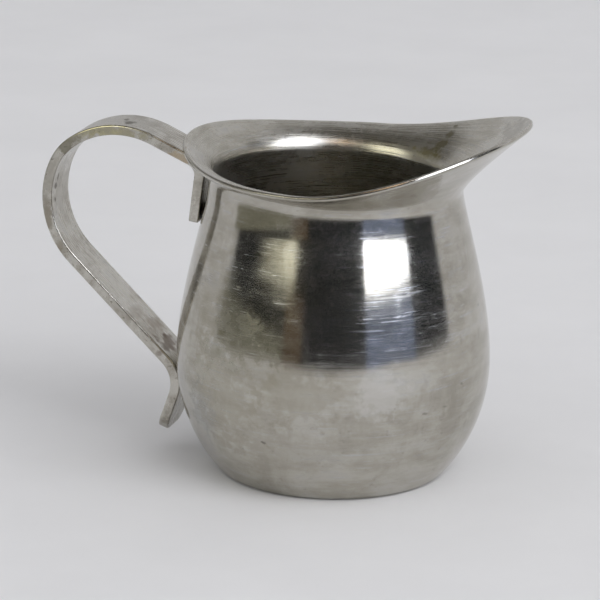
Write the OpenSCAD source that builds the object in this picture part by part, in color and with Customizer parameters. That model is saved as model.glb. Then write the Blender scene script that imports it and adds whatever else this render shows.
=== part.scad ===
// Small stainless steel cream jug of the bell pattern: a one-piece drawn body with a
// pulled pouring lip, and a flat strip handle spot-welded to it at neck and belly.
// +Z is up and +X points out of the spout. The origin is on the body's axis, in the
// plane of its flat base.

/* [Body] */
// Outside diameter of the belly, the widest part
belly_d = 61; // [52:0.5:75]
// Height of the widest part above the table
belly_z = 22; // [17:0.5:27]
// Outside diameter at which the belly's curve would meet the table
base_d = 44; // [36:0.5:50]
// Outside diameter of the throat, the narrowest part
throat_d = 49; // [40:0.5:51]
// Height of the throat on the spout's side
throat_z = 56; // [46:0.5:68]
// Height that the throat gains on the handle's side
throat_lift = 2.2; // [0:0.1:4]
// How far the belly's curve runs upright before it leans in
belly_ease = 13; // [8:0.5:16]
// How far the shoulder's curve straightens below the throat
throat_ease = 3.5; // [2:0.1:6]
// Thickness of the drawn wall
wall = 1; // [0.7:0.05:1.2]

/* [Base] */
// Radius of the rounded corner between the flat base and the belly
base_corner = 1.6; // [1.5:0.1:3]

/* [Lip] */
// Outside diameter of the lip at its back, not counting the spout
lip_d = 58.6; // [52:0.2:66]
// Height of the lip above the throat at the sides, its lowest part
lip_h = 4.8; // [4.5:0.1:9]
// Height that the lip gains towards the handle
lip_back_rise = 3.2; // [0:0.1:6]
// Height that the lip gains at the tip of the spout
spout_rise = 9.3; // [4:0.1:14]
// Reach that the spout adds to the lip in a broad swell
spout_pull = 7.8; // [3:0.1:12]
// Extra reach of the spout's narrow beak
spout_beak = 0.6; // [0:0.1:3]
// Height above the throat at which the lip turns outwards
lip_turn = 2.6; // [1.5:0.1:3.2]

/* [Handle] */
// Width of the flat strip
strip_w = 9.5; // [6:0.5:13]
// Thickness of the strip
strip_t = 2; // [1.2:0.1:3]
// Depth of the tab's foot below the throat
tab_drop = 8.4; // [6.5:0.1:10]
// Straight length of the tab that stands on the neck
tab_len = 9.1; // [7.5:0.1:12]
// Lean of the tab towards the neck, in degrees from upright
tab_lean = 7; // [3:0.5:10]
// Centre-line radius of the sharp bend under the lip
tab_bend_r = 3.1; // [2:0.1:5]
// Slope of the top run, in degrees above level
top_slope = 23.3; // [15:0.5:32]
// Length of the top run before the loop begins
top_len = 8.4; // [5:0.1:14]
// Centre-line radius of the loop's broad bends
loop_r = 17; // [12:0.5:22]
// Angle that the loop turns before its knuckle
loop_turn = 61; // [50:1:70]
// Centre-line radius of the loop's tight knuckle
knuckle_r = 10.8; // [8:0.2:17]
// Angle that the knuckle turns
knuckle_turn = 28; // [0:1:40]
// Slope of the long run down to the belly, in degrees below level
run_slope = 43.7; // [38:0.5:50]
// Centre-line radius of the bend that rests on the belly
rest_r = 6.8; // [4:0.2:10]
// Straight length of the tail that curls out below it
tail_len = 7.8; // [5:0.2:11]
// Outward lean of the tail, in degrees from upright
tail_lean = 19; // [10:0.5:28]
// Radius of the tail's two corners
tail_corner = 2.6; // [1:0.1:3]

/* [Welds] */
// Gap that the upper spot weld bridges at the tab's foot
foot_gap = 0.15; // [0.1:0.05:0.5]
// Gap that the lower spot weld bridges where the strip is closest to the belly
rest_gap = 0.25; // [0.1:0.05:0.5]
// Diameter of a weld nugget
weld_d = 2.6; // [2:0.1:3.5]
// Height of the upper weld above the tab's foot
weld_up = 1.7; // [1.4:0.1:2.5]

/* [Hidden] */
steel = [0.63, 0.62, 0.59];
weld_steel = [0.5, 0.48, 0.46];
eps = 0.01;

// Facets: steps round the lip, steps along one curve of a section, steps round the half
// circle of the rim's edge, degrees along a bend
around = 72;
curve_steps = 10;
edge_steps = 5;
bend_step = 4;

// Body radii and the circle of the lower belly, which is upright at the belly
belly_r = belly_d / 2;
base_r = base_d / 2;
throat_r = throat_d / 2;
swell = belly_r - base_r;
bowl_r = (swell * swell + belly_z * belly_z) / (2 * swell);
bowl_x = belly_r - bowl_r;
inner_corner_r = 0.4;
corner_r = max(base_corner, wall + inner_corner_r);
corner_x = bowl_x + sqrt(pow(bowl_r - corner_r, 2) - pow(belly_z - corner_r, 2));
corner_a = -atan2(belly_z - corner_r, corner_x - bowl_x);

// The shoulder's curve, from the belly to the throat, and the share of it that is turned
// true round the axis; above that the section changes all the way round
shoulder = [[belly_r, belly_z], [belly_r, belly_z + belly_ease],
            [throat_r, throat_z - throat_ease], [throat_r, throat_z]];
true_share = 0.78;
// How far the lip's root reaches into the turned wall, and how far it keeps inside its
// outer and inner faces
root_len = 0.8;
root_inset_out = 0.08;
root_inset_in = 0.14;
// Shape of the spout in plan: powers of the broad swell and of the beak
swell_power = 2.9;
beak_power = 25;
back_power = 3;
// How tightly the lip hugs its turn: 0.67 is a parabola, 1 a fold
turn_hug = 0.67;

function mix(a, b, t) = a + (b - a) * t;
function bezier(c, t) = pow(1 - t, 3) * c[0] + 3 * t * pow(1 - t, 2) * c[1]
    + 3 * t * t * (1 - t) * c[2] + pow(t, 3) * c[3];
function bezier_dir(c, t) = pow(1 - t, 2) * (c[1] - c[0]) + 2 * t * (1 - t) * (c[2] - c[1])
    + t * t * (c[3] - c[2]);
function bezier_rest(c, t) = [bezier(c, t), mix(mix(c[1], c[2], t), mix(c[2], c[3], t), t),
    mix(c[2], c[3], t), c[3]];
function reversed(list) = [for (i = [len(list) - 1 : -1 : 0]) list[i]];

// A skin point is [radius, height, angle of the outward normal in the section]
function skin_at(c, t) = let (p = bezier(c, t), d = bezier_dir(c, t)) [p[0], p[1], atan2(-d[0], d[1])];
function off_skin(s, depth) = [s[0] - depth * cos(s[2]), s[1] - depth * sin(s[2])];

base_skin = [
    [0, 0, -90],
    [corner_x, 0, -90],
    for (i = [1 : curve_steps - 1]) let (a = mix(-90, corner_a, i / curve_steps))
        [corner_x + corner_r * cos(a), corner_r + corner_r * sin(a), a]
];
bowl_skin = [for (i = [0 : 2 * curve_steps - 1]) let (a = mix(corner_a, 0, i / (2 * curve_steps)))
    [bowl_x + bowl_r * cos(a), belly_z + bowl_r * sin(a), a]];
shoulder_skin = [for (i = [0 : 2 * curve_steps]) skin_at(shoulder, true_share * i / (2 * curve_steps))];
turned_skin = concat(base_skin, bowl_skin, shoulder_skin);
join = skin_at(shoulder, true_share);

// Radius of the turned body at a height above the belly
function shoulder_r(z) = lookup(z, [for (s = shoulder_skin) [s[1], s[0]]]);

// The lip's section at angle a round the axis, 0 at the spout, as a closed loop of points
function swell_at(a) = (1 + cos(a)) / 2;
function lip_r(a) = lip_d / 2 + spout_pull * pow(swell_at(a), swell_power) + spout_beak * pow(swell_at(a), beak_power);
function lip_z(a) = throat_z + lip_h + spout_rise * pow(max(cos(a), 0), 2)
    + lip_back_rise * pow(max(-cos(a), 0), back_power);
function throat_up(a) = throat_lift * (1 - swell_at(a));
function neck_curve(a) = let (c = bezier_rest(shoulder, true_share), up = [0, throat_up(a)])
    [c[0], c[1], c[2] + up, c[3] + up];
function lip_curve(a) = let (neck = [throat_r, throat_z + throat_up(a)], rim = [lip_r(a), lip_z(a)],
    turn = neck + [0, lip_turn]) [neck, mix(neck, turn, turn_hug), mix(rim, turn, turn_hug), rim];
function lip_skin(a) = concat(
    [for (i = [1 : curve_steps / 2]) skin_at(neck_curve(a), 2 * i / curve_steps)],
    [for (i = [1 : curve_steps]) skin_at(lip_curve(a), i / curve_steps)]);
function lip_loop(a) = let (
    low = [join[0] + root_len * sin(join[2]), join[1] - root_len * cos(join[2]), join[2]],
    skin = lip_skin(a),
    rim = skin[len(skin) - 1],
    centre = off_skin(rim, wall / 2))
    concat(
        [off_skin(low, root_inset_out)],
        [for (s = skin) off_skin(s, 0)],
        [for (i = [1 : edge_steps - 1]) let (turn = rim[2] + 180 * i / edge_steps)
            centre + wall / 2 * [cos(turn), sin(turn)]],
        [for (s = reversed(skin)) off_skin(s, wall)],
        [off_skin(low, wall - root_inset_in)]);

module turned_body(sides = 96) {
    rotate_extrude($fn = sides)
        polygon(concat([for (s = turned_skin) off_skin(s, 0)],
                       [[join[0] - wall / cos(join[2]), join[1]]],
                       reversed([for (s = turned_skin) off_skin(s, wall)])));
}

module lip() {
    loops = [for (i = [0 : around - 1]) lip_loop(360 * i / around)];
    n = len(loops[0]);
    points = [for (i = [0 : around - 1], p = loops[i])
        [p[0] * cos(360 * i / around), p[0] * sin(360 * i / around), p[1]]];
    faces = [for (i = [0 : around - 1], j = [0 : n - 1]) let (i2 = (i + 1) % around, j2 = (j + 1) % n)
        each [[i * n + j, i * n + j2, i2 * n + j2], [i * n + j, i2 * n + j2, i2 * n + j]]];
    polyhedron(points, faces, convexity = 6);
}

module body() {
    color(steel) {
        turned_body();
        lip();
    }
}

// The handle's centre line is a chain of pieces in the XZ plane. A state is [x, z, heading];
// a piece is [length, 0] when straight, or [radius, turn] when bent, left turns positive.
function left_of(h) = [-sin(h), cos(h)];
function place(s, p) = p[1] == 0 ? [s[0] + p[0] * cos(s[2]), s[1] + p[0] * sin(s[2]), s[2]]
    : let (side = sign(p[1]) * p[0], h = s[2] + p[1], q = [s[0], s[1]] + side * left_of(s[2]) - side * left_of(h))
        [q[0], q[1], h];
function states(s, pieces, i = 0) = i == len(pieces) ? [s] : concat([s], states(place(s, pieces[i]), pieces, i + 1));
function piece_path(s, p) = let (n = ceil(abs(p[1]) / bend_step))
    concat([s], [for (k = [1 : n - 1]) place(s, [p[0], p[1] * k / n])]);

foot_z = throat_z - tab_drop;
tab_heading = 90 - tab_lean;
foot_face_x = -(shoulder_r(foot_z) + foot_gap);
foot = [foot_face_x - strip_t / 2 / cos(tab_lean), foot_z, tab_heading];
top_heading = 180 - top_slope;
run_heading = 360 - run_slope;
tail_heading = 270 - tail_lean;
upper_pieces = [
    [tab_len, 0],
    [tab_bend_r, top_heading - tab_heading],
    [top_len, 0],
    [loop_r, loop_turn],
    [knuckle_r, knuckle_turn],
    [loop_r, run_heading - top_heading - loop_turn - knuckle_turn]
];
upper_states = states(foot, upper_pieces);
loop_end = upper_states[len(upper_pieces)];

// The long run stops where the rest bend comes within rest_gap of the lower belly's circle
bowl_centre = [-bowl_x, belly_z];
reach = bowl_r + rest_r + strip_t / 2 + rest_gap;
bend_start = [loop_end[0], loop_end[1]] - rest_r * left_of(run_heading);
run_dir = [cos(run_heading), sin(run_heading)];
gap_vec = bend_start - bowl_centre;
along = gap_vec * run_dir;
run_len = -along - sqrt(along * along - gap_vec * gap_vec + reach * reach);
rest_centre = bend_start + run_len * run_dir;
rest_heading = atan2(bowl_centre[1] - rest_centre[1], bowl_centre[0] - rest_centre[0]);
rest_dir = [cos(rest_heading), sin(rest_heading)];
lower_pieces = [
    [run_len, 0],
    [rest_r, tail_heading - run_heading],
    [tail_len, 0]
];
lower_states = states(loop_end, lower_pieces);
tail_end = lower_states[len(lower_pieces)];
centre_line = concat(
    [for (i = [0 : len(upper_pieces) - 1]) each piece_path(upper_states[i], upper_pieces[i])],
    [for (i = [0 : len(lower_pieces) - 1]) each piece_path(lower_states[i], lower_pieces[i])],
    [tail_end]);

function beside(s, d) = [s[0], s[1]] + d * left_of(s[2]);

// Puts a shape whose X axis runs along a heading in the XZ plane, from a point of it
module at_heading(p, h) {
    translate([p[0], 0, p[1]]) rotate([0, -h, 0]) children();
}

// What is cut off a square end to leave one rounded corner
module corner_waste(side) {
    size = tail_corner + eps;
    translate([-tail_corner, side * (strip_w / 2 - tail_corner), 0])
        linear_extrude(strip_t + 2 * eps, center = true)
            difference() {
                translate([0, side > 0 ? 0 : -size]) square(size);
                circle(r = tail_corner, $fn = 48);
            }
}

module handle() {
    color(steel) difference() {
        rotate([90, 0, 0])
            linear_extrude(strip_w, center = true)
                polygon(concat([for (s = centre_line) beside(s, strip_t / 2)],
                               reversed([for (s = centre_line) beside(s, -strip_t / 2)])));
        at_heading(tail_end, tail_heading) {
            corner_waste(1);
            corner_waste(-1);
        }
    }
}

// A nugget fills what is left between strip and body along one line
module nugget(p, h, length) {
    color(weld_steel) difference() {
        at_heading(p, h) rotate([0, 90, 0]) cylinder(d = weld_d, h = length, $fn = 128);
        handle();
        turned_body(720);
    }
}

module upper_spot_weld() {
    start = place(foot, [weld_up, 0]);
    gap = -beside(start, -strip_t / 2)[0] - shoulder_r(start[1]);
    nugget(start, tab_heading - 90, strip_t / 2 + gap + wall / 2);
}

module lower_spot_weld() {
    nugget(rest_centre + rest_r * rest_dir, rest_heading, strip_t / 2 + rest_gap + wall / 2);
}

body();
handle();
upper_spot_weld();
lower_spot_weld();
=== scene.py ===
from math import atan2, cos, degrees, hypot, pi, radians, sin, sqrt

import bpy
from mathutils import Matrix, Vector
from mathutils.kdtree import KDTree


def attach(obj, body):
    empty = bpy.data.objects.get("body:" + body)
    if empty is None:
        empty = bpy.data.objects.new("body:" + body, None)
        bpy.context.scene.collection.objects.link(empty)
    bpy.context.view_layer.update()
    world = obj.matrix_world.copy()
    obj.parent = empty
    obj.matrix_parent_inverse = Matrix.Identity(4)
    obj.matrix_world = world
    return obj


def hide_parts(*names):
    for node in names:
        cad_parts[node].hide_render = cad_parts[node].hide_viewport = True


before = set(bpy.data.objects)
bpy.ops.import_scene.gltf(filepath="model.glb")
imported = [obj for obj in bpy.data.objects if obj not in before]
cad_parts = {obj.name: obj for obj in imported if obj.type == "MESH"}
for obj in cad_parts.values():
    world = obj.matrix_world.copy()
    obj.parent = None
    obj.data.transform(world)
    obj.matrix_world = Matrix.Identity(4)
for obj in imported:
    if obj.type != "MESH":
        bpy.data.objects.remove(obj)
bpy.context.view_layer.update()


# ---- Camera -------------------------------------------------------------------------
# A long lens close to level with the table, a little to the spout's side of the middle.
# The aim is a point near the body's axis, half way up.

camera_aim = Vector((-0.0063, -0.0020, 0.0333))
camera_distance = 0.7812
camera_heading = radians(17.445)
camera_pitch = radians(16.264)
camera_roll = radians(0.83)
sensor_mm = 36
lens_mm = 241.6

camera = bpy.data.objects.new("camera", bpy.data.cameras.new("camera"))
camera.data.sensor_width = sensor_mm
camera.data.lens = lens_mm
camera.matrix_world = (Matrix.Translation(camera_aim)
                       @ Matrix.Rotation(camera_heading, 4, "Z")
                       @ Matrix.Rotation(pi / 2 - camera_pitch, 4, "X")
                       @ Matrix.Rotation(camera_roll, 4, "Z")
                       @ Matrix.Translation((0, 0, camera_distance)))
bpy.context.scene.collection.objects.link(camera)
bpy.context.scene.camera = camera


# ---- Body ---------------------------------------------------------------------------
# One piece drawn from a stainless steel disc: flat base, round belly, narrow throat and a
# flared lip that is pulled out into the spout. The wall is 1 mm thick all over and its
# rim is rolled smooth. Satin polished on a lathe, and stained by years of washing.

wall = 0.001
belly_r = 0.0305
belly_z = 0.022
base_r = 0.022
throat_r = 0.0245
throat_z = 0.056
throat_lift = 0.0022
belly_ease = 0.013
throat_ease = 0.0035
base_corner = 0.0016
turned_share = 0.78

lip_r = 0.0293
lip_h = 0.0048
lip_back_rise = 0.0032
spout_rise = 0.0093
spout_pull = 0.0078
spout_beak = 0.0006
lip_turn = 0.0026
turn_hug = 0.67
swell_power = 2.9
beak_power = 25
rise_power = 2
back_power = 3

lathe_steps = 180
corner_steps = 10
bowl_steps = 40
shoulder_steps = 40
neck_steps = 12
lip_steps = 28
rim_steps = 8
base_rings = (0, 0.25, 0.5, 0.75, 0.9, 0.98, 1)
same_point = 1e-6

bowl_r = ((belly_r - base_r) ** 2 + belly_z ** 2) / (2 * (belly_r - base_r))
bowl_x = belly_r - bowl_r
corner_x = bowl_x + sqrt((bowl_r - base_corner) ** 2 - (belly_z - base_corner) ** 2)
corner_angle = -atan2(belly_z - base_corner, corner_x - bowl_x)
shoulder_points = [Vector(p) for p in ((belly_r, belly_z), (belly_r, belly_z + belly_ease),
                                       (throat_r, throat_z - throat_ease), (throat_r, throat_z))]


def mix(a, b, share):
    return a + (b - a) * share


def curve_point(points, t):
    """A point (r, z) of a cubic curve, with the angle of the outward normal there."""
    a, b, c, d = points
    place = a * (1 - t) ** 3 + b * 3 * t * (1 - t) ** 2 + c * 3 * t * t * (1 - t) + d * t ** 3
    along = (b - a) * (1 - t) ** 2 + (c - b) * 2 * t * (1 - t) + (d - c) * t * t
    return (place.x, place.y, atan2(-along.x, along.y))


def rest_of_curve(points, t):
    """The control points of what is left of a cubic curve after t."""
    a, b, c, d = points
    bc = mix(b, c, t)
    cd = mix(c, d, t)
    return [mix(mix(mix(a, b, t), bc, t), mix(bc, cd, t), t), mix(bc, cd, t), cd, d]


def sunk(skin_point, depth):
    """A point of the skin, moved into the metal."""
    r, z, normal = skin_point
    return (r - depth * cos(normal), z - depth * sin(normal))


def arc_points(centre, radius, start, end, steps):
    """The points of an arc after its start, each with the angle of its normal."""
    return [(centre[0] + radius * cos(a), centre[1] + radius * sin(a), a)
            for a in (mix(start, end, i / steps) for i in range(1, steps + 1))]


turned_skin = ([(corner_x * share, 0, -pi / 2) for share in base_rings]
               + arc_points((corner_x, base_corner), base_corner, -pi / 2, corner_angle, corner_steps)
               + arc_points((bowl_x, belly_z), bowl_r, corner_angle, 0, bowl_steps)
               + [curve_point(shoulder_points, turned_share * i / shoulder_steps)
                  for i in range(1, shoulder_steps + 1)])


def lip_section(angle):
    """The skin from the neck to the rim, at an angle round the axis, 0 at the spout."""
    towards_spout = (1 + cos(angle)) / 2
    raised = Vector((0, throat_lift * (1 - towards_spout)))
    neck = rest_of_curve(shoulder_points, turned_share)
    neck = [neck[0], neck[1], neck[2] + raised, neck[3] + raised]
    rim = Vector((lip_r + spout_pull * towards_spout ** swell_power
                  + spout_beak * towards_spout ** beak_power,
                  throat_z + lip_h + spout_rise * max(cos(angle), 0) ** rise_power
                  + lip_back_rise * max(-cos(angle), 0) ** back_power))
    turn = neck[3] + Vector((0, lip_turn))
    lip = [neck[3], mix(neck[3], turn, turn_hug), mix(rim, turn, turn_hug), rim]
    return ([curve_point(neck, i / neck_steps) for i in range(1, neck_steps + 1)]
            + [curve_point(lip, i / lip_steps) for i in range(1, lip_steps + 1)])


def body_section(angle):
    """The whole wall as a line from the middle of the base, over the rim, to the inside."""
    skin = turned_skin + lip_section(angle)
    rim = skin[-1]
    edge = Vector(sunk(rim, wall / 2))
    over_rim = [edge + wall / 2 * Vector((cos(rim[2] + a), sin(rim[2] + a)))
                for a in (pi * i / rim_steps for i in range(1, rim_steps))]
    return ([sunk(s, 0) for s in skin] + [tuple(p) for p in over_rim]
            + [sunk(s, wall) for s in reversed(skin)])


def deselect_all():
    if bpy.context.object and bpy.context.object.mode == "EDIT":
        bpy.ops.object.mode_set(mode="OBJECT")
    bpy.ops.object.select_all(action="DESELECT")


def finish_mesh(name, smooth_angle):
    """Closes the seams, points the faces outwards and names the finished piece."""
    bpy.ops.mesh.select_all(action="SELECT")
    bpy.ops.mesh.remove_doubles(threshold=same_point)
    bpy.ops.mesh.normals_make_consistent(inside=False)
    bpy.ops.object.mode_set(mode="OBJECT")
    piece = bpy.context.object
    piece.name = name
    piece.data.name = name
    if smooth_angle is None:
        bpy.ops.object.shade_smooth()
    else:
        bpy.ops.object.shade_smooth_by_angle(angle=smooth_angle)
    return piece


# The blank: the spout's own section, drawn point by point and turned round the axis
deselect_all()
section = body_section(0)
bpy.ops.mesh.primitive_circle_add(vertices=3, radius=wall, location=(0, 0, 0))
bpy.ops.object.mode_set(mode="EDIT")
bpy.ops.mesh.merge(type="CENTER")
for here, there in zip(section, section[1:]):
    step = (there[0] - here[0], 0, there[1] - here[1])
    bpy.ops.mesh.extrude_region_move(TRANSFORM_OT_translate={"value": step})
bpy.ops.mesh.select_all(action="SELECT")
bpy.ops.mesh.spin(steps=lathe_steps, angle=2 * pi, center=(0, 0, 0), axis=(0, 0, 1))
body = finish_mesh("jug_body", None)

# The lip is shaped: each point of the blank above the belly moves to its place in the
# section that belongs to its own angle. The polish reads two values kept at each point: how
# far it lies along the section, and whether it is on the inside.
places = KDTree(len(section))
lengths = [0]
for i, (r, z) in enumerate(section):
    places.insert((r, 0, z), i)
    if i:
        lengths.append(lengths[-1] + hypot(r - section[i - 1][0], z - section[i - 1][1]))
places.balance()
along = body.data.attributes.new("along", "FLOAT", "POINT")
inside = body.data.attributes.new("inside", "FLOAT", "POINT")
sections = {}
for i, vertex in enumerate(body.data.vertices):
    r = hypot(vertex.co.x, vertex.co.y)
    place = places.find((r, 0, vertex.co.z))[1]
    along.data[i].value = lengths[place]
    inside.data[i].value = place > len(section) / 2
    if vertex.co.z < belly_z:
        continue
    angle = atan2(vertex.co.y, vertex.co.x)
    key = round(lathe_steps * angle / (2 * pi))
    if key not in sections:
        sections[key] = body_section(2 * pi * key / lathe_steps)
    new_r, new_z = sections[key][place]
    vertex.co = (new_r * cos(angle), new_r * sin(angle), new_z)


def linear(hex_colour):
    """An sRGB hex colour in linear light, with full alpha."""
    parts = [int(hex_colour[i:i + 2], 16) / 255 for i in (0, 2, 4)]
    return tuple(p / 12.92 if p <= 0.04045 else ((p + 0.055) / 1.055) ** 2.4
                 for p in parts) + (1,)


def add(tree, kind, sockets=(), output=0, stops=(), **settings):
    """Adds one node and gives one of its outputs. A socket takes a value, a hex colour or
    another node's output; stops are a ramp's places and colours."""
    node = tree.nodes.new(kind)
    for name, value in settings.items():
        setattr(node, name, value)
    for name, value in dict(sockets).items():
        if isinstance(value, bpy.types.NodeSocket):
            tree.links.new(value, node.inputs[name])
        else:
            node.inputs[name].default_value = linear(value) if isinstance(value, str) else value
    for i, (place, colour) in enumerate(stops):
        stop = node.color_ramp.elements[i] if i < 2 else node.color_ramp.elements.new(place)
        stop.position = place
        stop.color = linear(colour)
    return node.outputs[output]


PLACE, STRETCH, AXES = "ShaderNodeTexCoord", "ShaderNodeMapping", "ShaderNodeSeparateXYZ"
NOISE, RAMP, EASE = "ShaderNodeTexNoise", "ShaderNodeValToRGB", "ShaderNodeMapRange"
MATH, VECTOR, MIX = "ShaderNodeMath", "ShaderNodeVectorMath", "ShaderNodeMix"
smooth = {"interpolation_type": "SMOOTHSTEP"}
colour_mix = {"data_type": "RGBA", "output": 2}


def new_material(name, metallic=1):
    material = bpy.data.materials.new(name)
    material.use_nodes = True
    tree = material.node_tree
    tree.nodes["Principled BSDF"].inputs["Metallic"].default_value = metallic
    return material, tree, tree.nodes["Principled BSDF"]


def marked(tree, marks, colour, rough):
    """Lays ragged-edged marks over a colour and a roughness. Each mark has its centre, its
    reach, its colour, how much it covers and how much it dulls."""
    place = add(tree, PLACE, output="Object")
    ragged = add(tree, NOISE, {"Vector": place, "Scale": 450, "Detail": 4, "Roughness": 0.6})
    ragged = add(tree, EASE, {"Value": ragged, "From Min": 0.2, "From Max": 0.8,
                              "To Min": -0.85, "To Max": 0.85})
    for centre, reach, tint, cover, dulling in marks:
        away = add(tree, VECTOR, {0: place, 1: centre}, operation="SUBTRACT")
        away = add(tree, VECTOR, {0: away, 1: reach}, operation="DIVIDE")
        away = add(tree, VECTOR, {0: away}, output="Value", operation="LENGTH")
        away = add(tree, MATH, {0: away, 1: ragged}, operation="ADD")
        mark = add(tree, EASE, {"Value": away, "From Min": 1.0, "From Max": 0.45, "To Max": cover},
                   **smooth)
        colour = add(tree, MIX, {0: mark, 6: colour, 7: tint}, **colour_mix)
        rough = add(tree, MATH, {0: mark, 1: dulling / cover, 2: rough}, operation="MULTIPLY_ADD")
    return colour, rough


# Satin polished 18/8 stainless steel. Polishing lines run round the body: they are about
# 0.05 mm apart, drawn here 0.3 mm apart so that they show. Between them the metal is nearly
# a mirror; a grain 0.03 mm across spreads a little of the light into a haze, and hairline
# scratches, drawn 0.2 mm wide so that they show, spread more of it. Hard water has left a
# patchy film, in clouds about 12 mm across. The inside was turned more coarsely, with lines
# 0.8 mm apart, and never polished, so its gloss is lower. Scales are repeats to the metre.
satin, tree, shader = new_material("satin_polished_stainless_steel")
whole = add(tree, PLACE, output="Object")
inside = add(tree, "ShaderNodeAttribute", output="Fac", attribute_name="inside")
along = add(tree, "ShaderNodeAttribute", output="Fac", attribute_name="along")
around = add(tree, VECTOR, {0: whole, 1: (1, 1, 0)}, operation="MULTIPLY")
around = add(tree, VECTOR, {0: around}, operation="NORMALIZE")
around = add(tree, VECTOR, {0: around, "Scale": belly_r}, operation="SCALE")
along = add(tree, "ShaderNodeCombineXYZ", {"Z": along})
lathe = add(tree, VECTOR, {0: around, 1: along}, operation="ADD")
fine_lathe = add(tree, STRETCH, {"Vector": lathe, "Scale": (30, 30, 3300)})
hair_lathe = add(tree, STRETCH, {"Vector": lathe, "Scale": (34, 34, 5200)})
deep_lathe = add(tree, STRETCH, {"Vector": lathe, "Scale": (22, 22, 1300)})
smear_lathe = add(tree, STRETCH, {"Vector": lathe, "Scale": (70, 70, 330)})

lines = add(tree, NOISE, {"Vector": fine_lathe, "Scale": 1, "Detail": 2, "Roughness": 0.55})
hairs = add(tree, NOISE, {"Vector": hair_lathe, "Scale": 1, "Detail": 2, "Roughness": 0.6})
patches = add(tree, NOISE, {"Vector": smear_lathe, "Scale": 4, "Detail": 3, "Roughness": 0.6})
deep_lines = add(tree, NOISE, {"Vector": deep_lathe, "Scale": 1, "Detail": 3, "Roughness": 0.6})
smears = add(tree, NOISE, {"Vector": smear_lathe, "Scale": 1, "Detail": 5, "Roughness": 0.65})
cloud = add(tree, NOISE, {"Vector": whole, "Scale": 85, "Detail": 6, "Roughness": 0.66,
                          "Distortion": 0.7})
speckle = add(tree, NOISE, {"Vector": whole, "Scale": 700, "Detail": 3, "Roughness": 0.6})
hazy_grain = add(tree, NOISE, {"Vector": whole, "Scale": 40000, "Detail": 1, "Roughness": 0.5})

film = add(tree, MATH, {0: cloud, 1: 0.6, 2: -0.3}, operation="MULTIPLY_ADD")
film = add(tree, MATH, {0: smears, 1: 0.4, 2: film}, operation="MULTIPLY_ADD")
steel = add(tree, RAMP, {0: film}, stops=((0.10, "AAA69B"), (0.19, "B8B4AA"), (0.27, "C3C0B8"),
                                          (0.36, "B9B7B3")))
dirt = add(tree, EASE, {"Value": speckle, "From Min": 0.60, "From Max": 0.74, "To Max": 0.5},
           **smooth)
dirt = add(tree, MATH, {0: dirt, 1: cloud}, operation="MULTIPLY")
steel = add(tree, MIX, {0: dirt, 6: steel, 7: "6F6A62"}, **colour_mix)
hair = add(tree, EASE, {"Value": hairs, "From Min": 0.52, "From Max": 0.68}, **smooth)
patches = add(tree, EASE, {"Value": patches, "From Min": 0.42, "From Max": 0.62}, **smooth)
hair = add(tree, MATH, {0: hair, 1: patches}, operation="MULTIPLY")
# Painted glint: the hairline scratches are tinted pale blue, standing in for the light they catch
painted_glint = add(tree, MATH, {0: hair, 1: 0.35}, operation="MULTIPLY")
steel = add(tree, MIX, {0: painted_glint, 6: steel, 7: "C3C9D8"}, **colour_mix)

rough = add(tree, EASE, {"Value": lines, "From Min": 0.3, "From Max": 0.7,
                         "To Min": 0.075, "To Max": 0.125})
dull = add(tree, EASE, {"Value": film, "From Min": 0.18, "From Max": 0.36, "To Max": 0.07},
           **smooth)
rough = add(tree, MATH, {0: rough, 1: dull}, operation="ADD")
haze = add(tree, EASE, {"Value": hazy_grain, "From Min": 0.64, "From Max": 0.66, "To Max": 0.42})
haze = add(tree, MATH, {0: hair, 1: 0.15, 2: haze}, operation="MULTIPLY_ADD")
rough = add(tree, MATH, {0: rough, 1: haze}, operation="ADD")
rough = add(tree, MATH, {0: inside, 1: 0.17, 2: rough}, operation="MULTIPLY_ADD")

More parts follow.
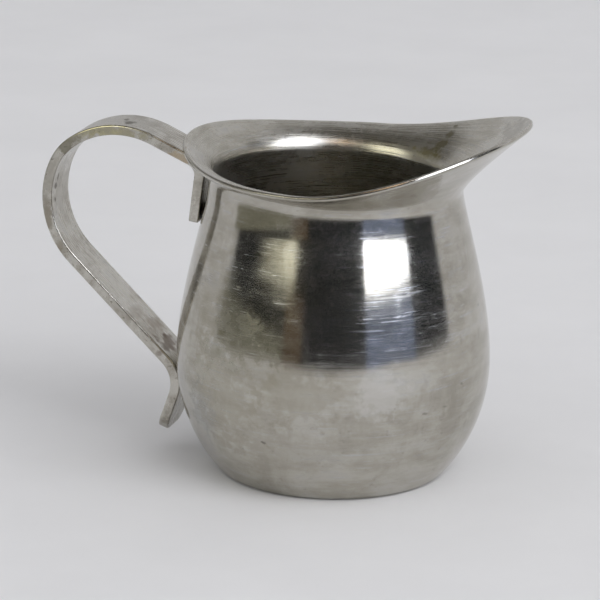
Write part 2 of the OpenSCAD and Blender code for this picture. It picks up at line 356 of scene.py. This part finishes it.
limescale, water_film, finger_film = "DAD9D5", "A3A192", "9A958A"
old_grease, nick = "6B6446", "4A463F"
stains_and_painted_reflections = (
    # limescale and water film on the handle's side of the belly
    ((-0.0150, -0.0262, 0.0290), (0.0045, 0.0045, 0.0014), limescale, 0.50, 0.20),
    ((-0.0125, -0.0275, 0.0268), (0.0050, 0.0040, 0.0010), limescale, 0.45, 0.20),
    ((-0.0190, -0.0230, 0.0240), (0.0025, 0.0025, 0.0030), limescale, 0.30, 0.15),
    ((-0.0190, -0.0230, 0.0155), (0.0050, 0.0050, 0.0065), "9A9FA9", 0.32, 0.04),
    ((-0.0150, -0.0260, 0.0230), (0.0130, 0.0100, 0.0170), "A19C8C", 0.45, 0.06),
    ((-0.0105, -0.0265, 0.0350), (0.0055, 0.0045, 0.0065), water_film, 0.22, 0.06),
    ((-0.0080, -0.0280, 0.0325), (0.0090, 0.0045, 0.0050), water_film, 0.22, 0.06),
    ((-0.0185, -0.0215, 0.0370), (0.0080, 0.0090, 0.0140), "9C9788", 0.42, 0.04),
    # finger film in the spout
    ((0.0310, 0.0060, 0.0685), (0.0090, 0.0110, 0.0040), "98948B", 0.50, 0.04),
    ((0.0290, 0.0120, 0.0690), (0.0030, 0.0030, 0.0020), "8A857A", 0.40, 0.06),
    # painted reflection: duller patches on the belly, away from the handle, two darker and warmer
    # where it mirrors dim things and one brighter where it mirrors a pale one
    ((0.0030, -0.0300, 0.0230), (0.0110, 0.0060, 0.0070), "A7A293", 0.45, 0.03),
    ((0.0010, -0.0290, 0.0110), (0.0150, 0.0100, 0.0050), "ADA99F", 0.35, 0.03),
    ((0.0172, -0.0255, 0.0240), (0.0060, 0.0060, 0.0060), "D2D0CC", 0.55, 0.02),
    # old grease on the inside of the lip
    ((0.0146, 0.0219, 0.0604), (0.0019, 0.0028, 0.0022), old_grease, 0.75, 0.25),
    ((0.0158, 0.0245, 0.0618), (0.0013, 0.0024, 0.0014), old_grease, 0.70, 0.22),
    ((0.0164, 0.0264, 0.0632), (0.0010, 0.0014, 0.0010), old_grease, 0.60, 0.20),
    ((0.0122, 0.0218, 0.0592), (0.0034, 0.0030, 0.0011), "7A7355", 0.65, 0.15),
    ((0.0140, 0.0225, 0.0584), (0.0060, 0.0040, 0.0014), "8F885F", 0.40, 0.12),
    # finger film on the spout's side of the belly
    ((0.0262, -0.0150, 0.0215), (0.0060, 0.0060, 0.0050), finger_film, 0.22, 0.06),
    ((0.0275, -0.0112, 0.0150), (0.0040, 0.0050, 0.0045), finger_film, 0.25, 0.05),
    # small dark nicks
    ((-0.0049, -0.0287, 0.0127), (0.0006, 0.0012, 0.0004), nick, 0.55, 0.10),
    ((0.0287, -0.0100, 0.0225), (0.0004, 0.0008, 0.0006), nick, 0.45, 0.10),
    ((0.0267, -0.0140, 0.0190), (0.0006, 0.0009, 0.0003), nick, 0.40, 0.10),
    ((0.0240, -0.0185, 0.0185), (0.0007, 0.0009, 0.0003), nick, 0.35, 0.10),
    ((0.0287, 0.0000, 0.0355), (0.0005, 0.0008, 0.0005), nick, 0.35, 0.10),
)
steel, rough = marked(tree, stains_and_painted_reflections, steel, rough)
tree.links.new(steel, shader.inputs["Base Color"])
tree.links.new(rough, shader.inputs["Roughness"])
depth = add(tree, EASE, {"Value": inside, "To Min": 0.10, "To Max": 14.0})
relief = add(tree, MATH, {0: deep_lines, 1: depth}, operation="MULTIPLY")
relief = add(tree, MATH, {0: lines, 1: 0.22, 2: relief}, operation="MULTIPLY_ADD")
bump = add(tree, "ShaderNodeBump", {"Height": relief, "Strength": 0.35, "Distance": 0.00002})
tree.links.new(bump, shader.inputs["Normal"])

body.data.materials.append(satin)
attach(body, "root")
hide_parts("body")


# ---- Handle -------------------------------------------------------------------------
# Flat stainless strip, 9.5 mm wide and 2 mm thick, bent cold into a loop. A short tab
# stands on the neck, the long run comes down to rest on the belly, and the tail curls out.
# The long edges are tumbled round and the tail's corners are rounded.

strip_w = 0.0095
strip_t = 0.002
foot = Vector((-0.02744, 0, 0.0476))
foot_heading = radians(83)
top_heading = radians(180 - 23.3)
run_heading = radians(360 - 43.7)
tail_heading = radians(270 - 19)
tail_corner = 0.0026
edge_r = 0.0003
loop_turn = radians(61)
knuckle_turn = radians(28)
degrees_per_step = 3
sharp_edge = radians(40)
smooth_up_to = radians(30)
handle_pieces = (
    ("straight", 0.0091),                                 # tab on the neck
    ("bend", 0.0031, top_heading - foot_heading),         # under the lip
    ("straight", 0.0084),                                 # rise
    ("bend", 0.017, loop_turn),
    ("bend", 0.0108, knuckle_turn),
    ("bend", 0.017, run_heading - top_heading - loop_turn - knuckle_turn),
    ("straight", 0.02686),                                # run down to the belly
    ("bend", 0.0068, tail_heading - run_heading),         # rests on the belly
    ("straight", 0.0078),                                 # tail
)

deselect_all()
bpy.ops.mesh.primitive_plane_add(size=1, location=foot, rotation=(0, pi / 2 - foot_heading, 0))
strip = bpy.context.object
strip.scale = (strip_t, strip_w, 1)
bpy.ops.object.transform_apply(location=True, rotation=True, scale=True)
bpy.ops.object.mode_set(mode="EDIT")
bpy.ops.mesh.select_all(action="SELECT")
end = foot.copy()
heading = foot_heading
for shape, size, *turn in handle_pieces:
    if shape == "straight":
        step = size * Vector((cos(heading), 0, sin(heading)))
        bpy.ops.mesh.extrude_region_move(TRANSFORM_OT_translate={"value": step})
        end = end + step
    else:
        turned = turn[0]
        side = size if turned > 0 else -size
        centre = end + side * Vector((-sin(heading), 0, cos(heading)))
        steps = round(degrees(abs(turned)) / degrees_per_step)
        bpy.ops.mesh.spin(steps=steps, angle=turned, center=centre, axis=(0, 1, 0))
        heading += turned
        end = centre - side * Vector((-sin(heading), 0, cos(heading)))
handle = finish_mesh("strip_handle", smooth_up_to)


def edges_at(piece, test):
    """Selects the edges of a piece whose two ends both pass a test."""
    bpy.ops.object.mode_set(mode="EDIT")
    bpy.ops.mesh.select_all(action="DESELECT")
    bpy.ops.mesh.select_mode(type="EDGE")
    bpy.ops.object.mode_set(mode="OBJECT")
    for edge in piece.data.edges:
        a, b = (piece.data.vertices[i].co for i in edge.vertices)
        edge.select = test(a, b)
    bpy.ops.object.mode_set(mode="EDIT")


tail_dir = Vector((cos(tail_heading), 0, sin(tail_heading)))
edges_at(handle, lambda a, b: abs(a.y - b.y) < edge_r and (a - end).dot(tail_dir) > -edge_r
         and (b - end).dot(tail_dir) > -edge_r)
bpy.ops.mesh.bevel(offset=tail_corner, segments=8, affect="EDGES")
bpy.ops.object.mode_set(mode="OBJECT")
rounded = handle.modifiers.new("tumbled_edges", "BEVEL")
rounded.width = edge_r
rounded.segments = 4
rounded.limit_method = "ANGLE"
rounded.angle_limit = sharp_edge
bpy.ops.object.modifier_apply(modifier=rounded.name)
bpy.ops.object.shade_smooth_by_angle(angle=smooth_up_to)

# Tumbled 18/8 stainless strip. Rolling left lines along it, drawn 0.5 mm apart so that they
# show, and the tumbling drum dulled and pocked it with dents about 1 mm across. Dirt sits in
# them, and washing never reached the brown heat tint beside the lower weld.
tumbled, tree, shader = new_material("tumbled_stainless_strip")
whole = add(tree, PLACE, output="Object")
rolled = add(tree, STRETCH, {"Vector": whole, "Scale": (110, 1900, 110)})
cloud = add(tree, NOISE, {"Vector": whole, "Scale": 160, "Detail": 6, "Roughness": 0.68,
                          "Distortion": 0.6})
streaks = add(tree, NOISE, {"Vector": rolled, "Scale": 1, "Detail": 4, "Roughness": 0.65})
pocks = add(tree, NOISE, {"Vector": whole, "Scale": 1100, "Detail": 3, "Roughness": 0.6})
worn = add(tree, MATH, {0: streaks, 1: 0.5, 2: cloud}, operation="MULTIPLY_ADD")
steel = add(tree, RAMP, {0: worn}, stops=((0.60, "A09B91"), (0.70, "B7B3AA"), (0.80, "C8C5BD"),
                                          (0.90, "BDBBB6")))
dirt = add(tree, EASE, {"Value": pocks, "From Min": 0.63, "From Max": 0.72, "To Max": 0.6}, **smooth)
steel = add(tree, MIX, {0: dirt, 6: steel, 7: "5D564B"}, **colour_mix)
rough = add(tree, EASE, {"Value": streaks, "From Min": 0.3, "From Max": 0.7,
                         "To Min": 0.20, "To Max": 0.34})
grime, rust, painted_straw_highlight = "3F3930", "5B4130", "A9A268"
wear_and_painted_highlights = (
    # dirt in the dents on top of the loop and round its outer end
    ((-0.0415, -0.0016, 0.0655), (0.0014, 0.0016, 0.0012), grime, 0.80, 0.20),
    ((-0.0430, 0.0004, 0.0655), (0.0006, 0.0007, 0.0006), grime, 0.70, 0.20),
    ((-0.0564, -0.0028, 0.0515), (0.0012, 0.0009, 0.0008), grime, 0.80, 0.20),
    ((-0.0560, -0.0028, 0.0490), (0.0012, 0.0008, 0.0007), grime, 0.75, 0.20),
    ((-0.0560, -0.0020, 0.0535), (0.0012, 0.0005, 0.0010), grime, 0.65, 0.20),
    ((-0.0555, -0.0030, 0.0462), (0.0014, 0.0008, 0.0006), grime, 0.65, 0.20),
    ((-0.0575, -0.0048, 0.0460), (0.0012, 0.0008, 0.0045), "7A6B57", 0.45, 0.12),
    ((-0.0550, -0.0048, 0.0390), (0.0012, 0.0008, 0.0030), "8A7B67", 0.35, 0.10),
    # heat tint and rust from the lower weld up the run
    ((-0.0345, -0.0005, 0.0205), (0.0024, 0.0045, 0.0028), rust, 0.55, 0.14),
    ((-0.0375, 0.0010, 0.0240), (0.0030, 0.0040, 0.0026), "7D6A57", 0.40, 0.10),
    ((-0.0400, -0.0010, 0.0275), (0.0020, 0.0030, 0.0016), "857462", 0.35, 0.10),
    # painted highlight: a straw to brown band along one edge, the near one, partly made glossier,
    # standing in for an olive highlight there
    ((-0.0450, -0.0048, 0.0640), (0.0080, 0.0012, 0.0024), painted_straw_highlight, 0.60, -0.08),
    ((-0.0530, -0.0048, 0.0610), (0.0030, 0.0012, 0.0034), "6E6A55", 0.60, 0.05),
    ((-0.0300, -0.0048, 0.0600), (0.0050, 0.0012, 0.0014), "A88F62", 0.50, -0.05),
    # places made duller, darker over the top of the loop and round its outer end, lighter on the
    # lower run and on the near edge of the tab
    ((-0.0460, 0.0000, 0.0655), (0.0170, 0.0100, 0.0040), "9E9A91", 0.50, 0.03),
    ((-0.0575, 0.0000, 0.0530), (0.0030, 0.0100, 0.0130), "A29E95", 0.45, 0.03),
    ((-0.0440, 0.0000, 0.0330), (0.0090, 0.0080, 0.0090), "D3D0C9", 0.45, 0.01),
    ((-0.0285, -0.0048, 0.0520), (0.0016, 0.0016, 0.0060), "D6D3CB", 0.50, 0.06),
)
steel, rough = marked(tree, wear_and_painted_highlights, steel, rough)
tree.links.new(steel, shader.inputs["Base Color"])
tree.links.new(rough, shader.inputs["Roughness"])
relief = add(tree, MATH, {0: dirt, 1: -0.8, 2: streaks}, operation="MULTIPLY_ADD")
bump = add(tree, "ShaderNodeBump", {"Height": relief, "Strength": 0.45, "Distance": 0.00004})
tree.links.new(bump, shader.inputs["Normal"])
handle.data.materials.append(tumbled)
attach(handle, "root")
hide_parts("handle")


# ---- Spot welds ---------------------------------------------------------------------
# Two resistance spot welds, each a nugget fused between strip and body. The heat left the
# bare metal dull, straw to brown, in patches about 1.5 mm across.

fused, tree, shader = new_material("heat_tinted_weld_steel")
whole = add(tree, PLACE, output="Object")
cloud = add(tree, NOISE, {"Vector": whole, "Scale": 700, "Detail": 4, "Roughness": 0.6})
tint = add(tree, RAMP, {0: cloud}, stops=((0.3, "5E5246"), (0.5, "7B6A55"), (0.7, "8F877C")))
rough = add(tree, EASE, {"Value": cloud, "From Min": 0.3, "From Max": 0.7,
                         "To Min": 0.38, "To Max": 0.55})
tree.links.new(tint, shader.inputs["Base Color"])
tree.links.new(rough, shader.inputs["Roughness"])
for name in ("upper_spot_weld", "lower_spot_weld"):
    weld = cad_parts[name]
    weld.data.materials.clear()
    weld.data.materials.append(fused)


# ---- Table, room and light ----------------------------------------------------------
# A pale paper sheet on a table in a room: pale walls at the sides and behind, and in front
# the dark far end of the room with two windows, which the polished belly mirrors. In the
# mirror image the table ends close in front of the jug, and the room is seen past it.

table_front = 0.36
table_side = 0.33
floor_drop = 0.00005
paper_size = 5
deselect_all()
bpy.ops.mesh.primitive_plane_add(size=paper_size, location=(0, 0, -floor_drop))
bpy.ops.object.transform_apply(location=True)
floor = bpy.context.object
floor.name = "paper_sheet"
bpy.ops.object.mode_set(mode="EDIT")
bpy.ops.mesh.subdivide(number_cuts=3)
bpy.ops.object.mode_set(mode="OBJECT")
paper, tree, shader = new_material("matte_paper", metallic=0)
whole = add(tree, PLACE, output="Object")
fibre = add(tree, NOISE, {"Vector": whole, "Scale": 25, "Detail": 4, "Roughness": 0.6})
tint = add(tree, RAMP, {0: fibre}, stops=((0.3, "E2E2E4"), (0.7, "E6E6E8")))
tree.links.new(tint, shader.inputs["Base Color"])
shader.inputs["Roughness"].default_value = 0.95
squared = add(tree, STRETCH, {"Vector": whole, "Rotation": (0, 0, -camera_heading)})
sideways = add(tree, AXES, {0: squared}, output="X")
sideways = add(tree, MATH, {0: sideways}, operation="ABSOLUTE")
backward = add(tree, AXES, {0: squared}, output="Y")
past_side = add(tree, MATH, {0: sideways, 1: table_side}, operation="GREATER_THAN")
past_front = add(tree, MATH, {0: backward, 1: -table_front}, operation="LESS_THAN")
past_table = add(tree, MATH, {0: past_side, 1: past_front}, operation="MAXIMUM")
mirrored = add(tree, "ShaderNodeLightPath", output="Is Glossy Ray")
past_table = add(tree, MATH, {0: past_table, 1: mirrored}, operation="MULTIPLY")
nothing = add(tree, "ShaderNodeBsdfTransparent")
surface = add(tree, "ShaderNodeMixShader", {0: past_table, 1: shader.outputs[0], 2: nothing})
tree.links.new(surface, tree.nodes["Material Output"].inputs["Surface"])
floor.data.materials.append(paper)

world = bpy.data.worlds.new("room")
world.use_nodes = True
bpy.context.scene.world = world
tree = world.node_tree
background = tree.nodes["Background"]
direction = add(tree, PLACE, output="Generated")
turned = add(tree, STRETCH, {"Vector": direction, "Rotation": (0, 0, -camera_heading)})
rightward = add(tree, AXES, {0: turned}, output="X")
forward = add(tree, AXES, {0: turned}, output="Y")
upward = add(tree, AXES, {0: turned}, output="Z")
# Bearings are 0 towards the front of the room and grow to the right; heights are above level
frontward = add(tree, MATH, {0: forward, 1: -1.0}, operation="MULTIPLY")
bearing = add(tree, MATH, {0: rightward, 1: frontward}, operation="ARCTAN2")
height = add(tree, MATH, {0: upward}, operation="ARCSINE")


def opening(bearings, heights, soft, slope=0.0):
    """1 inside a range of bearings and a range of heights, in degrees, with soft sides; the
    lower side climbs by the slope."""
    sill = add(tree, MATH, {0: bearing, 1: -slope, 2: height}, operation="MULTIPLY_ADD")
    mask = 1.0
    for value, edge, side in ((bearing, bearings[0], 1), (bearing, bearings[1], -1),
                              (sill, heights[0], 1), (height, heights[1], -1)):
        inner = add(tree, EASE, {"Value": value, "From Min": radians(edge - side * soft),
                                 "From Max": radians(edge + side * soft)}, **smooth)
        mask = add(tree, MATH, {0: mask, 1: inner}, operation="MULTIPLY")
    return mask


# Pale screens stand at the sides and back, higher on the right; over them is the dim ceiling
screen_top = add(tree, MATH, {0: rightward, 1: radians(-30), 2: height}, operation="MULTIPLY_ADD")
over_screens = add(tree, EASE, {"Value": screen_top, "From Min": radians(43),
                                "From Max": radians(49)}, **smooth)
room = add(tree, MIX, {0: over_screens, 6: "CFCFD1", 7: "5C5A56"}, **colour_mix)
# The far end of the room is dark down to the table, whose edge is not sharp
above_table = add(tree, EASE, {"Value": height, "From Min": radians(-8),
                               "From Max": radians(-2)}, **smooth)
front = add(tree, MATH, {0: opening((-92, 94), (-90, 120), 3), 1: above_table},
            operation="MULTIPLY")
up_the_wall = add(tree, EASE, {"Value": height, "From Min": radians(12),
                               "From Max": radians(60)}, **smooth)
dark = add(tree, RAMP, {0: up_the_wall}, stops=((0, "0C0F18"), (1, "4C4842")))
room = add(tree, MIX, {0: front, 6: room, 7: dark}, **colour_mix)
# What stands out in the room: bearings, heights, softness, slope of the sill, colour and
# strength
room_parts = (
    ((-97, -38), (-9, 2.0), 2, 0, "848376", 1.0),         # low furniture at the left
    ((-38, -24), (-5, 8.6), 1, 0, "5E5040", 1.0),         # brown post beside it
    ((24, 62), (-6, 9.5), 2, 0, "7582A2", 1.0),           # wall below the right window
    ((24, 63), (10.9, 60), 0.9, -0.05, "F1F5FF", 6.5),    # right window
    ((-66, -33), (11.2, 48), 4, 0, "EEECD8", 3.3),        # left window, dimmer
    ((-10, 10), (34, 50), 5, 0, "EDCDAA", 3.2),           # warm lamp, high up
)
for bearings, heights, soft, slope, colour, strength in room_parts:
    lit = add(tree, VECTOR, {0: linear(colour)[:3], "Scale": strength}, operation="SCALE")
    room = add(tree, MIX, {0: opening(bearings, heights, soft, slope), 6: room, 7: lit},
               **colour_mix)
# Only mirror reflections see the room; all else is lit by an even pale sky
mirrored = add(tree, "ShaderNodeLightPath", output="Is Glossy Ray")
seen = add(tree, MIX, {0: mirrored, 6: "D1D1D2", 7: room}, **colour_mix)
tree.links.new(seen, background.inputs["Color"])

light_bearing = radians(45)
light_height = radians(36)
light_distance = 1.5
light_width = 1.1
light_length = 1.3
light_watts = 10
key = bpy.data.objects.new("window_light", bpy.data.lights.new("window_light", "AREA"))
key.data.shape = "RECTANGLE"
key.data.size = light_width
key.data.size_y = light_length
key.data.energy = light_watts
key.location = Matrix.Rotation(camera_heading + light_bearing, 4, "Z") @ Vector(
    (0, -light_distance * cos(light_height), light_distance * sin(light_height)))
key.rotation_euler = (-key.location).to_track_quat("-Z", "Y").to_euler()
key.visible_glossy = False
bpy.context.scene.collection.objects.link(key)
bpy.context.scene.view_settings.view_transform = "Standard"
